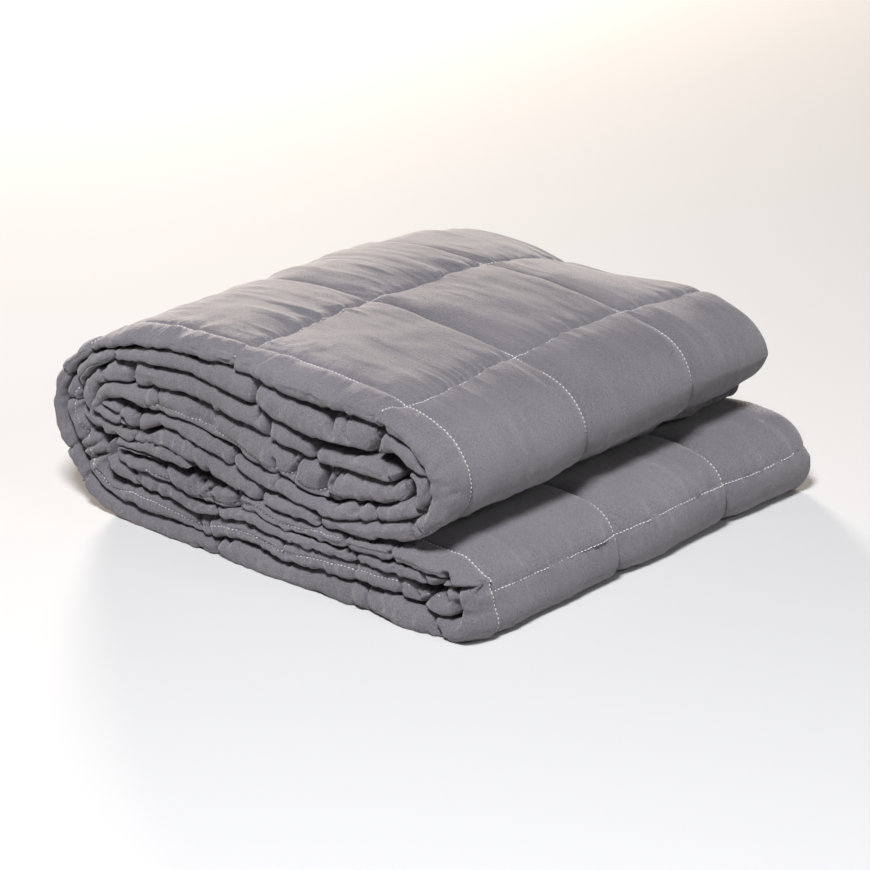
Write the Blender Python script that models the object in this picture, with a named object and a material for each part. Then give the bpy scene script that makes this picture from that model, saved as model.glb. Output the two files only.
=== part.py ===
"""Weighted blanket: quilted in squares, doubled across its width and folded into a bundle of two rolls.

The blanket is one filled solid. A slice across it is a U lying on its side: an outer and an inner
layer, free at the front end and joined by a fold at the back. That slice runs along the five
passes of the folded strip, from the core of the upper roll to the curl inside the lower one.

Frame: metres, +Z up, +X along the passes, the free front ends at -Y. The origin is the centre of
the underside's box. The tables below are in millimetres, measured from the bundle's left side and
from the surface that it rests on.
"""

from math import cos, pi, sin

import bmesh
import bpy
import numpy as np
from mathutils import Vector

MM = 0.001

# Across the strip, front to back (mm)
STRIP_WIDTH = 334.0  # front ends to back fold
LINE_SEAMS = (25.0, 137.0, 240.0)  # long quilting lines, from the front ends
NOSE_DEPTH = 5.5  # how deep a layer's front end is rounded
BACK_FOLD = (6.0, 17.0)  # how deep the fold at the back is rounded, least and most
BACK_WALL = 8.0  # cloth and filling left inside the back fold
CLEFT_ROUNDING = 8.0  # how far in front of the fold the cleft between the layers starts to close

# Quilting (mm)
LINE_DIP, LINE_REACH = 5.4, 16.0  # depth of a long line's valley, and how fast it fades
CROSS_DIP, CROSS_REACH = 4.6, 11.0  # the same for a seam across the strip
CROSS_PULL = 2.2  # how far a cross seam draws the front end in
LEAST_HALF = 1.3  # a layer is nowhere thinner than twice this
LAYER_GAP = 1.1  # air between neighbouring layers
SETTLE, SETTLE_REACH = 2.2, 8.0  # how far the weight presses the underside down, and up to what height

# How the bundle changes from front to back: how far the roll's top sinks at its left shoulder,
# middle and right shoulder, and how far the roll's right side and the bundle's right foot are
# drawn in (mm)
SAG_COLUMNS = ("y", "left", "middle", "right", "inset", "foot")
SAG = (
    (0, -2, -2.5, -1.5, 0, 6),
    (25, -4, -3.5, -1.5, 0, -3),
    (80, -3.5, -1, 2, 0.5, 0),
    (137, -3, 1, 4, 2, 1),
    (190, -2.5, 0.5, 2.5, 4, 3),
    (240, -2, 1, 3.5, 6, 4.5),
    (290, 5, 12, 9, 9, 5),
    (334, 15, 29, 12, 12, 5),
)
SAG_SHOULDERS = (45.0, 170.0, 275.0)  # x of the left shoulder, the middle and the right shoulder
ROLL_FOOT, ROLL_TOP = 50.0, 128.0  # heights between which the sag grows to its full size
INSET_START, INSET_SPAN = 170.0, 150.0  # x where the drawing in starts, and over how far it grows
INSET_BASE = 8.0  # how far above the roll's foot its side is drawn in fully
INSET_TIP, INSET_UNDER = 88.0, 1.1  # height of the roll's outermost point, how much more below it
FOOT_START, FOOT_SPAN, FOOT_HEIGHT = 300.0, 35.0, 22.0  # where the right foot is drawn in

# Stations along the strip (mm)
STATION_STEP = 15.0
SEAM_STEP = 5.0  # distance from a cross seam that shows to the stations beside it
SAMPLE_STEP = 1.5  # for measuring the room around a layer
MARCH_STEP = 0.2
OWN_STRETCH = (3.4, 6.0)  # a layer doesn't give way to itself within this many half thicknesses plus mm
TURN_SHARE = 0.85  # the most of a turn's radius that a face fills on its inside

CLOTH_COLOR = (0.176, 0.166, 0.186)
CLOTH_ROUGHNESS = 0.92

# One row for each bend or section of the strip, in the order in which it is folded. Each row holds
# the centre (x, z) and thickness of the outer layer, then of the inner one, and which of the two
# a cross seam pinches there: o, i, both or neither.
COLUMNS = ("name", "out_x", "out_z", "out_t", "in_x", "in_z", "in_t", "seam")

CORE_PASS = (  # starts beside the upper roll's right end and runs left
    ("core end", 285.5, 92.0, 4, 293, 90.5, 6, ""),
    ("core curl", 277, 88.6, 7, 290.5, 84.0, 9, ""),
    ("core bend", 261, 88.8, 11, 281, 79.2, 12, ""),
    ("core dip", 241, 85.8, 11, 261, 76.0, 17, ""),
    ("core seam", 220, 85.8, 12, 226, 68.5, 21, "oi"),
    ("core rise", 199, 89.0, 13, 202, 72.5, 20, ""),
    ("core cell", 182, 92.3, 14, 182, 75.0, 21, "o"),
    ("core slope", 158, 95.0, 14, 159, 78.5, 20, ""),
    ("core crown", 130, 100.0, 14, 132, 83.2, 18, ""),
    ("core left cell", 92, 100.4, 13, 94, 86.5, 15, "i"),
    ("core left seam", 64, 96.4, 14, 68, 83.3, 13, "o"),
    ("core shoulder", 45, 91.8, 12, 51, 82.2, 12, ""),
)
LEFT_CORE_TURN = (  # the outer layer rounds the turn, the inner one is pleated inside it
    ("turn top", 33, 86.0, 12, 44, 80.0, 9, ""),
    ("turn side", 27, 77.0, 12, 38, 74.5, 7, ""),
    ("turn foot", 24, 67.0, 12, 35, 69.3, 6, ""),
    ("pleat tip", 28, 58.8, 11, 42, 67.6, 8, ""),
    ("pleat", 40, 57.6, 11, 54, 67.6, 9, ""),
)
SECOND_PASS = (  # runs right, under the core
    ("second pinch", 67, 58.2, 8, 67, 65.4, 8, "o"),
    ("second start", 81, 59.4, 10, 79, 70.2, 10, ""),
    ("second rise", 98, 63.0, 12, 98, 73.4, 10, ""),
    ("second slope", 120, 59.4, 13, 120, 70.4, 11, ""),
    ("second seam", 148, 54.4, 13, 152, 65.6, 11, "i"),
    ("second cell", 176, 48.6, 13, 178, 59.7, 11, "o"),
    ("second flat", 200, 46.7, 11, 202, 57.7, 12, ""),
    ("second low", 225, 45.5, 10, 225, 53.6, 8, ""),
    ("second lift", 247, 47.6, 11, 247, 58.2, 11, ""),
    ("second climb", 270, 53.7, 12, 267, 64.8, 11, "i"),
    ("second end", 289, 59.0, 13, 286, 70.2, 11, ""),
)
UPPER_RIGHT_TURN = (
    ("roll foot", 303, 65.0, 12, 298, 76.3, 11, "o"),
    ("roll low side", 311.5, 74.5, 11, 305, 83.5, 10, ""),
    ("roll side", 313.5, 85.5, 11, 306, 91.5, 10, ""),
    ("roll high side", 311, 96.5, 11, 302, 99.5, 10, ""),
    ("roll shoulder", 303.5, 106.5, 11, 294, 105.0, 11, ""),
    ("roll crown", 291, 114.0, 10, 282, 107.6, 14, ""),
)
TOP_PASS = (  # runs left, over the roll: the cells that show on top
    ("top first seam", 270, 119.6, 11, 267, 106.0, 18, "oi"),
    ("top right cell", 248, 121.8, 12, 244, 104.6, 19, ""),
    ("top middle", 205, 122.6, 15, 205, 104.8, 19, ""),
    ("top inner seam", 176, 124.4, 13, 173, 109.6, 18, "i"),
    ("top second seam", 150, 125.4, 11, 150, 112.0, 17, "o"),
    ("top left cell", 118, 124.4, 11, 118, 113.5, 12, ""),
    ("top slope", 86, 121.4, 11, 86, 111.3, 11, ""),
    ("top left seam", 56, 115.4, 11, 55, 106.2, 10, "i"),
)
LEFT_OUTER_TURN = (
    ("side shoulder", 32, 105.4, 10, 36, 97.8, 10, "o"),
    ("side high", 18, 95.6, 10, 25, 88.8, 10, ""),
    ("side upper", 8, 84.2, 10, 17, 79.3, 11, ""),
    ("side corner", 3.4, 72.0, 8, 12.5, 68.5, 12, "i"),
    ("side middle", 3.2, 60.0, 8, 14.5, 59.5, 9, ""),
    ("side bulge", 5.0, 48.5, 10, 25.5, 47.5, 22, ""),
    ("side low", 8.6, 38.5, 11, 28.5, 39.5, 24, ""),
    ("side foot", 15.5, 28.5, 11, 32, 30.5, 16, ""),
    ("side seam", 25, 18.8, 11, 39, 23.4, 12, "o"),
    ("side heel", 36.5, 9.6, 11, 47, 18.0, 10, ""),
)
BOTTOM_PASS = (  # runs right, along the surface that the bundle rests on
    ("bottom start", 58, 5.0, 12, 62, 16.8, 12, ""),
    ("bottom left cell", 88, 5.2, 12, 88, 18.0, 14, ""),
    ("bottom inner seam", 118, 4.8, 11, 122, 16.0, 13, "i"),
    ("bottom first seam", 137, 5.6, 12, 139, 18.2, 13, "o"),
    ("bottom middle", 167, 6.8, 15, 167, 20.6, 14, ""),
    ("bottom dip", 192, 5.9, 13, 191, 18.9, 14, ""),
    ("bottom right cell", 222, 7.0, 15, 222, 20.7, 14, ""),
    ("bottom second seam", 258, 8.0, 16, 252, 22.4, 12, "oi"),
    ("bottom swell", 281, 9.0, 18, 277, 25.0, 12, ""),
    ("bottom end", 302, 7.4, 15, 299, 21.4, 12, "i"),
    ("bottom nose", 322, 6.6, 13, 315, 18.8, 12, ""),
)
LOWER_RIGHT_TURN = (
    ("nose foot", 336.5, 9.0, 12, 325, 19.8, 10, ""),
    ("nose seam", 336.5, 21.5, 11, 328.5, 26.2, 8, "o"),
    ("nose high", 331, 33.5, 11, 322, 32.6, 8, ""),
)
LAST_PASS = (  # runs left, between the two rolls
    ("last start", 318.5, 40.4, 11, 305, 35.3, 8, ""),
    ("last right", 298, 42.4, 12, 288, 35.0, 8, ""),
    ("last slope", 275, 41.6, 11, 270, 33.0, 8, ""),
    ("last seam", 247, 38.2, 10, 252, 31.2, 7, "oi"),
    ("last flat", 215, 36.6, 10, 215, 30.0, 6, ""),
    ("last rise", 183, 37.8, 11, 183, 30.4, 7, ""),
    ("last hump", 168, 41.4, 11, 168, 32.6, 10, ""),
    ("last cell", 151, 40.6, 14, 152, 29.4, 8, "o"),
    ("last low", 132, 38.4, 13, 138, 28.4, 8, "i"),
    ("last dip", 116, 37.4, 14, 118, 26.2, 7, ""),
    ("last swell", 98, 39.8, 12, 97, 30.3, 12, ""),
)
LAST_SHOWN = 4  # rows of the last pass that reach out from under the upper roll
END_CURL = (  # the strip's second end turns up and back, inner layer outside
    ("curl start", 77, 39.6, 10, 76, 30.6, 12, ""),
    ("curl foot", 64, 39.8, 7, 58, 30.6, 10, ""),
    ("curl side", 57, 41.6, 4, 49, 37.6, 10, ""),
    ("curl back", 57, 46.4, 3, 48, 46.6, 9, ""),
    ("curl top", 64, 47.6, 2.6, 57, 52.2, 7, ""),
    ("curl run", 74, 47.4, 2.6, 78, 52.8, 7, ""),
    ("curl swell", 84, 47.4, 2.6, 98, 53.8, 8, ""),
    ("curl end", 93, 47.6, 2.6, 116, 50.0, 6, ""),
)
PASSES = (
    CORE_PASS,
    LEFT_CORE_TURN,
    SECOND_PASS,
    UPPER_RIGHT_TURN,
    TOP_PASS,
    LEFT_OUTER_TURN,
    BOTTOM_PASS,
    LOWER_RIGHT_TURN,
    LAST_PASS,
    END_CURL,
)

# The slice's own stations, as distances from the front ends (mm). Only the outer layer's outer
# face shows, so it alone has points for the cells between the long lines.
OUTER_FACE = (25, 33, 46, 68, 95, 115, 128, 137, 146, 160, 188, 217, 231, 240, 249, 263, 280, 300)
HIDDEN_FACE = (250,)
NOSE_ANGLES = (0.8, pi / 2)  # rounding of a front end, from its tip
FOLD_ANGLES = (0.0, pi / 3, 2 * pi / 3, pi)  # from the outer face round


def rows():
    """The passes' rows as dictionaries, in the order of folding."""
    return [dict(zip(COLUMNS, row)) for one_pass in PASSES for row in one_pass]


def shows(row):
    """Whether this row has a cross seam on the bundle's own outside."""
    outside = UPPER_RIGHT_TURN + TOP_PASS + LEFT_OUTER_TURN
    outside += BOTTOM_PASS + LOWER_RIGHT_TURN + LAST_PASS[:LAST_SHOWN]
    return "o" in row["seam"] and row["name"] in [values[0] for values in outside]


def layer_points(layer):
    """Centre and thickness of one layer at each row, as an array of (x, z, thickness)."""
    return np.array([[row[layer + key] for key in ("_x", "_z", "_t")] for row in rows()], float)


def smooth_between(points, index, share):
    """Catmull-Rom curve through the rows, from row index (share 0) to the next one (share 1)."""
    last = len(points) - 1
    before, start, end, after = (points[min(max(index + k, 0), last)] for k in (-1, 0, 1, 2))
    return 0.5 * (
        2 * start
        + (end - before) * share
        + (2 * before - 5 * start + 4 * end - after) * share**2
        + (3 * start - before - 3 * end + after) * share**3
    )


def station_shares(length, seam_at_start, seam_at_end):
    """Where the stations of one span lie, from 0 up to but without 1, closer beside a seam."""
    marks = [0.0]
    if seam_at_start and length > 2 * SEAM_STEP:
        marks.append(SEAM_STEP)
    stop = length - SEAM_STEP if seam_at_end and length > 2.5 * SEAM_STEP else length
    count = max(1, round((stop - marks[-1]) / STATION_STEP))
    marks += [marks[-1] + (stop - marks[-1]) * k / count for k in range(1, count)]
    if stop < length:
        marks.append(stop)
    return [mark / length for mark in marks]


def strip_stations():
    """Both layers at each station: arrays of (x, z, thickness), and the seams' stations."""
    table = rows()
    outer, inner = layer_points("out"), layer_points("in")
    stations = {"out": [], "in": []}
    seams = {"out": [], "in": []}
    for index, row in enumerate(table):
        for layer, letter in (("out", "o"), ("in", "i")):
            if letter in row["seam"]:
                seams[layer].append(len(stations[layer]))
        if index == len(table) - 1:
            shares = [0.0]
        else:
            spans = [np.linalg.norm(p[index + 1, :2] - p[index, :2]) for p in (outer, inner)]
            shares = station_shares(max(spans), shows(row), shows(table[index + 1]))
        for share in shares:
            stations["out"].append(smooth_between(outer, index, share))
            stations["in"].append(smooth_between(inner, index, share))
    return {name: np.array(found) for name, found in stations.items()}, seams


def normals_of(centres):
    """Unit normals to the right of the way the strip runs, which is the outer layer's outside."""
    along = np.gradient(centres, axis=0)
    along /= np.linalg.norm(along, axis=1)[:, None]
    return np.stack([along[:, 1], -along[:, 0]], 1)


def arc_lengths(centres):
    steps = np.linalg.norm(np.diff(centres, axis=0), axis=1)
    return np.concatenate([[0.0], np.cumsum(steps)])


def sampled(layer):
    """One layer's centre line in short steps: points, half thicknesses and arc lengths."""
    arc = arc_lengths(layer[:, :2])
    fine = np.arange(0.0, arc[-1], SAMPLE_STEP)
    columns = [np.interp(fine, arc, layer[:, k]) for k in range(3)]
    return np.stack(columns[:2], 1), columns[2] / 2, fine


def room_beside(layers, name, side):
    """How far each station's face stands off its centre, on the side that side (1 or -1) names.

    It is half the thickness from the table, or less where a neighbouring layer would be met: two
    layers share the room between their centre lines in proportion to their thickness.
    """
    layer = layers[name]
    centres, halves = layer[:, :2], layer[:, 2] / 2
    normals = normals_of(centres) * side
    arc = arc_lengths(centres)
    turning = np.gradient(np.unwrap(np.arctan2(normals[:, 1], normals[:, 0])), arc)
    inside = turning * side < 0
    others = {other: sampled(points) for other, points in layers.items()}
    room = np.empty(len(layer))
    for k, (centre, normal, half) in enumerate(zip(centres, normals, halves)):
        reach = half
        if inside[k]:
            reach = min(reach, TURN_SHARE / max(abs(turning[k]), 1e-6))
        for other, (points, other_halves, other_arc) in others.items():
            far = np.ones(len(points), bool)
            if other == name:
                far = abs(other_arc - arc[k]) > OWN_STRETCH[0] * half + OWN_STRETCH[1]
            offset = 0.0
            while offset < reach:
                apart = np.linalg.norm(points[far] - (centre + (offset + MARCH_STEP) * normal), axis=1)
                shared = (offset + MARCH_STEP + LAYER_GAP / 2) * other_halves[far] / half
                if (apart - shared).min() < LAYER_GAP / 2:
                    break
                offset += MARCH_STEP
            reach = min(reach, max(offset, LEAST_HALF))
        room[k] = reach
    return evened(room)


def evened(room):
    """The same room with its jumps from one station to the next softened, never made larger."""
    padded = np.pad(room, 1, mode="edge")
    before, after = padded[:-2], padded[2:]
    lowest = np.minimum(np.minimum(before, room), after)
    level = np.minimum(room, (before + after) / 2)
    return np.maximum((lowest + level) / 2, LEAST_HALF)


def nearness(distance, reach):
    return np.exp(-np.abs(distance) / reach)


def seam_nearness(centres, seam_stations):
    """1 at a cross seam, fading to 0 along the cells beside it, for each station."""
    arc = arc_lengths(centres)
    return np.max([nearness(arc - arc[k], CROSS_REACH) for k in seam_stations], axis=0)


def line_nearness(y):
    return max(float(nearness(y - line, LINE_REACH)) for line in LINE_SEAMS)


def faces_of(stations, seams):
    """For each layer, what a station needs: centre, normal, room on both sides, seam nearness."""
    made = {}
    for name in ("out", "in"):
        centres = stations[name][:, :2]
        made[name] = {
            "centre": centres,
            "normal": normals_of(centres),
            1: room_beside(stations, name, 1),
            -1: room_beside(stations, name, -1),
            "seam": seam_nearness(centres, seams[name]),
        }
    return made


def limited(share, most=1.0):
    return min(max(share, 0.0), most)


def eased(share):
    """A share from 0 to 1 that starts and ends gently."""
    share = limited(share)
    return share * share * (3 - 2 * share)


def settled(z):
    """The height of a point once the bundle's weight has pressed its underside flat."""
    return max(z - SETTLE * max(1 - z / SETTLE_REACH, 0.0), 0.0)


def sag_at(y):
    """The sag's sizes at depth y, between the table's rows."""
    table = np.array(SAG, float)
    return [float(np.interp(y, table[:, 0], table[:, k])) for k in range(1, len(SAG_COLUMNS))]


def sagged(point):
    """The bundle is full at the front, and slumps and tapers towards the back."""
    left, middle, right, inset, foot = sag_at(point.y)
    left_x, middle_x, right_x = SAG_SHOULDERS
    drop = left + (middle - left) * eased((point.x - left_x) / (middle_x - left_x))
    drop += (right - middle) * eased((point.x - middle_x) / (right_x - middle_x))
    height = limited((point.z - ROLL_FOOT) / (ROLL_TOP - ROLL_FOOT), 1.1)
    under = 1 + INSET_UNDER * limited((INSET_TIP - point.z) / (INSET_TIP - ROLL_FOOT))
    in_roll = eased((point.z - ROLL_FOOT) / INSET_BASE)
    drawn_in = inset * under * in_roll * limited((point.x - INSET_START) / INSET_SPAN, 1.1)
    low = limited(1 - point.z / FOOT_HEIGHT)
    drawn_in += foot * low * limited((point.x - FOOT_START) / FOOT_SPAN)
    return Vector((point.x - drawn_in, point.y, point.z - drop * height))


def stand_off(layer, k, side, y):
    """How far a quilted face stands off its layer's centre at depth y, its valleys taken out."""
    full = layer[side][k]
    line, cross = line_nearness(y), layer["seam"][k]
    dip = LINE_DIP * line + CROSS_DIP * cross * (1 - line)
    return max(full - dip, min(full, LEAST_HALF))


def face_point(layer, k, side, y, dips=True):
    """A point on one face of a layer: station k, y from the front."""
    stand = stand_off(layer, k, side, y) if dips else layer[side][k]
    x, z = layer["centre"][k] + layer["normal"][k] * stand * side
    return Vector((x, y, settled(z)))


def nose(layer, k, side, dips=False):
    """The rounded front end of one face, from beside the tip to the full thickness."""
    pull = CROSS_PULL * layer["seam"][k]
    stand = stand_off(layer, k, side, NOSE_DEPTH) if dips else layer[side][k]
    points = []
    for angle in NOSE_ANGLES:
        x, z = layer["centre"][k] + layer["normal"][k] * stand * sin(angle) * side
        points.append(Vector((x, pull + NOSE_DEPTH * (1 - cos(angle)), settled(z))))
    return points


def tip(layer, k):
    x, z = layer["centre"][k]
    return Vector((x, CROSS_PULL * layer["seam"][k], settled(z)))


def back_fold(start, end, start_y, depth):
    """The fold that joins two faces at the back, as a half ellipse between them."""
    middle, half = (start + end) / 2, (start - end) / 2
    points = []
    for angle in FOLD_ANGLES:
        point = middle + half * cos(angle)
        point.y = start_y + depth * sin(angle) / sin(FOLD_ANGLES[1])
        point.z = max(point.z, 0.0)
        points.append(point)
    return points


def slice_at(layers, k):
    """One closed slice of the strip: the points round it and how far each lies along the slice.

    The outside runs from the outer layer's tip to the back and to the inner layer's tip. The
    inside returns between the layers.
    """
    outer, inner = layers["out"], layers["in"]
    deep = face_point(outer, k, 1, STRIP_WIDTH) - face_point(inner, k, -1, STRIP_WIDTH)
    fold_depth = min(max(deep.length / 2, BACK_FOLD[0]), BACK_FOLD[1])
    fold_start = STRIP_WIDTH - fold_depth
    outside = [tip(outer, k)] + nose(outer, k, 1, dips=True)
    outside += [face_point(outer, k, 1, y) for y in OUTER_FACE]
    outside += back_fold(
        face_point(outer, k, 1, fold_start), face_point(inner, k, -1, fold_start), fold_start, fold_depth
    )
    outside += [face_point(inner, k, -1, y, dips=False) for y in reversed(HIDDEN_FACE)]
    outside += list(reversed(nose(inner, k, -1))) + [tip(inner, k)]
    inside = nose(inner, k, 1)
    inside += [face_point(inner, k, 1, y, dips=False) for y in HIDDEN_FACE]
    meeting = (face_point(inner, k, 1, fold_start) + face_point(outer, k, -1, fold_start)) / 2
    meeting.y = STRIP_WIDTH - BACK_WALL
    cleft = fold_start - CLEFT_ROUNDING
    inside += [face_point(inner, k, 1, cleft), meeting, face_point(outer, k, -1, cleft)]
    inside += [face_point(outer, k, -1, y, dips=False) for y in reversed(HIDDEN_FACE)]
    inside += list(reversed(nose(outer, k, -1)))
    return outside, inside


def travel(points):
    """How far along the slice each point lies, 0 at the outer layer's tip, 1 at the inner one's."""
    half = next(k for k, point in enumerate(points) if point.y == max(p.y for p in points))
    depths = [p.y / STRIP_WIDTH for p in points]
    return [d / 2 if k <= half else 1 - d / 2 for k, d in enumerate(depths)]


def close_end(mesh, outside, inside, vertices):
    """Triangles across a slice at the strip's end, between its outside and its inside."""
    outer_run = list(range(len(outside)))
    inner_run = [0] + list(range(len(vertices) - 1, len(outside) - 1, -1)) + [len(outside) - 1]
    every = outside + inside
    outer_at = travel([every[k] for k in outer_run])
    inner_at = travel([every[k] for k in inner_run])
    a = b = 0
    while a < len(outer_run) - 1 or b < len(inner_run) - 1:
        can_outer = a < len(outer_run) - 1
        can_inner = b < len(inner_run) - 1
        if can_outer and (not can_inner or outer_at[a + 1] <= inner_at[b + 1]):
            corners = (outer_run[a], outer_run[a + 1], inner_run[b])
            a += 1
        else:
            corners = (outer_run[a], inner_run[b + 1], inner_run[b])
            b += 1
        if len(set(corners)) == 3:
            mesh.faces.new([vertices[c] for c in corners])


def to_part_frame(mesh):
    """Moves the origin to the middle of the underside's box, in metres."""
    low = Vector(min(v.co[k] for v in mesh.verts) for k in range(3))
    high = Vector(max(v.co[k] for v in mesh.verts) for k in range(3))
    origin = Vector(((low.x + high.x) / 2, (low.y + high.y) / 2, low.z))
    for vertex in mesh.verts:
        vertex.co = (vertex.co - origin) * MM


def blanket_mesh():
    """The whole folded blanket as one closed mesh."""
    stations, seams = strip_stations()
    layers = faces_of(stations, seams)
    built = bmesh.new()
    rings = []
    for k in range(len(stations["out"])):
        outside, inside = ([sagged(point) for point in run] for run in slice_at(layers, k))
        rings.append((outside, inside, [built.verts.new(point) for point in outside + inside]))
    for (_, _, here), (_, _, there) in zip(rings, rings[1:]):
        count = len(here)
        for k in range(count):
            after = (k + 1) % count
            built.faces.new((here[k], here[after], there[after], there[k]))
    for outside, inside, vertices in (rings[0], rings[-1]):
        close_end(built, outside, inside, vertices)
    to_part_frame(built)
    bmesh.ops.triangulate(built, faces=built.faces[:])
    bmesh.ops.recalc_face_normals(built, faces=built.faces[:])
    made = bpy.data.meshes.new("quilted_blanket")
    built.to_mesh(made)
    built.free()
    made.shade_smooth()
    return made


def cloth_material():
    material = bpy.data.materials.new("grey_cotton")
    material.use_nodes = True
    shader = material.node_tree.nodes["Principled BSDF"]
    shader.inputs["Base Color"].default_value = (*CLOTH_COLOR, 1.0)
    shader.inputs["Roughness"].default_value = CLOTH_ROUGHNESS
    shader.inputs["Metallic"].default_value = 0.0
    return material


def clear_scene():
    for thing in list(bpy.data.objects):
        bpy.data.objects.remove(thing, do_unlink=True)


def main():
    clear_scene()
    blanket = bpy.data.objects.new("quilted_blanket", blanket_mesh())
    blanket.data.materials.append(cloth_material())
    bpy.context.scene.collection.objects.link(blanket)


main()
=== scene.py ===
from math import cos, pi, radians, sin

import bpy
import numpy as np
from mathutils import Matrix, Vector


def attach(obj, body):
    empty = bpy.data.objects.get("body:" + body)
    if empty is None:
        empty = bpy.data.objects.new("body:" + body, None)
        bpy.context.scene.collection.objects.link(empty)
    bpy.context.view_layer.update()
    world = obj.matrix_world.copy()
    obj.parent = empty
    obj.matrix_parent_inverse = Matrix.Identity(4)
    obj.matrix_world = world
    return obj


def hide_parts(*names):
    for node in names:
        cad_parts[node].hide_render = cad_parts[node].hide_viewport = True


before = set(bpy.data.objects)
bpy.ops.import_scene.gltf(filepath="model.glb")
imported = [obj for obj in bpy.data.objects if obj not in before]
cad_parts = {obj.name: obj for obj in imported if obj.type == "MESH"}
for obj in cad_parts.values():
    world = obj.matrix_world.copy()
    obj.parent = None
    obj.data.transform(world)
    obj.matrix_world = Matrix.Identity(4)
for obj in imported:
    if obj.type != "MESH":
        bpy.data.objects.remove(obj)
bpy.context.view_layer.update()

# Looks of the folded weighted blanket: grey cotton, quilted in squares and sewn with pale thread.
#
# Lengths are in millimetres in the tables' own frame: x from the bundle's left side along the
# passes, y from the free front ends, z from the surface. placed() turns them into the row's frame.
# A layer of the strip stands for a doubled thickness of the blanket. Its two faces are surfaces of
# two numbers: k, the station along the strip, and q, the way over the cloth from the front end's
# tip, positive over the layer's right-hand face and negative over its left-hand one.

MM = 0.001
TINY = 1e-6
TABLE_ORIGIN = np.array([169.7065, 167, 0])

# Across the strip, front to back
STRIP_WIDTH = 334
LINE_SEAMS = (25, 137, 240)
NOSE_DEPTH = 8.5  # how deep the front end of a layer as thick as NOSE_FULL is rounded
NOSE_FULL, NOSE_SHARES = 12, (0.4, 1.1)  # the others in proportion, between these shares of it
NOSE_SQUARE = (0.55, 1)  # its fullness on the side that faces down and up: 1 is an ellipse
NOSE_ARC = 11.5  # the way over the cloth from a front end's tip to its full thickness
BORDER_ROLL = 11  # the most that the outermost face is rounded deeper towards the first line
BACK_FOLD = (6, 17)  # how deep the fold at the back is rounded, least and most
FOLD_ROUND, FOLD_UNEVEN = 1.1, 0.8  # a fold's depth in half widths, and how far it wanders
FOLD_WIDTH, FOLD_POINTS = 30, 17  # the way over the cloth round a fold, and its points

# The way over the cloth at which a face ends and the fold at the back starts
DEEP_WAY = NOSE_ARC + STRIP_WIDTH - NOSE_DEPTH - BACK_FOLD[1] - 2
BORDER_WAY = NOSE_ARC + LINE_SEAMS[0] - NOSE_DEPTH  # the first long line

# Room of the layers
LEAST_HALF = 1.3
LEAST_WIDTH = 2  # a front end is shaped as if its half were at least this thick
LAYER_GAP = 0.5
OWN_STRETCH = (3.4, 6)  # a layer doesn't give way to itself within this many halves plus mm
TURN_SHARE = 0.85  # how much of a turn's radius the face inside it fills
ROW_SOFT, ROOM_SOFT, STITCH_SOFT = 2, 2.2, 3  # stations over which values are evened out
FREE = 1e3  # the room of a face that meets nothing

# Meshes: the steps along the strip and over the cloth
STATION_STEP = 1
FACE_STEP, LOWER_COARSER = 1.35, 1.2
NOSE_STEP, BORDER_STEP, FRONT_SIDE_STEP = 0.9, 1.6, 2.2
FRONT_STEP = 1.15  # along the front ends
DEEP_STEP, HIDDEN_STEP, HIDDEN_FRONT_STEP = 12, 6, 4
FRONT_REACH = 42  # how deep the fine mesh of the band fronts goes on their hidden sides
LINE_FINE, LINE_STEP = 7, 0.75  # the mesh is finer this near a long line
CREASE_FINE, CREASE_STEP = 2.4, 0.5  # and this near a crease

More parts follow.
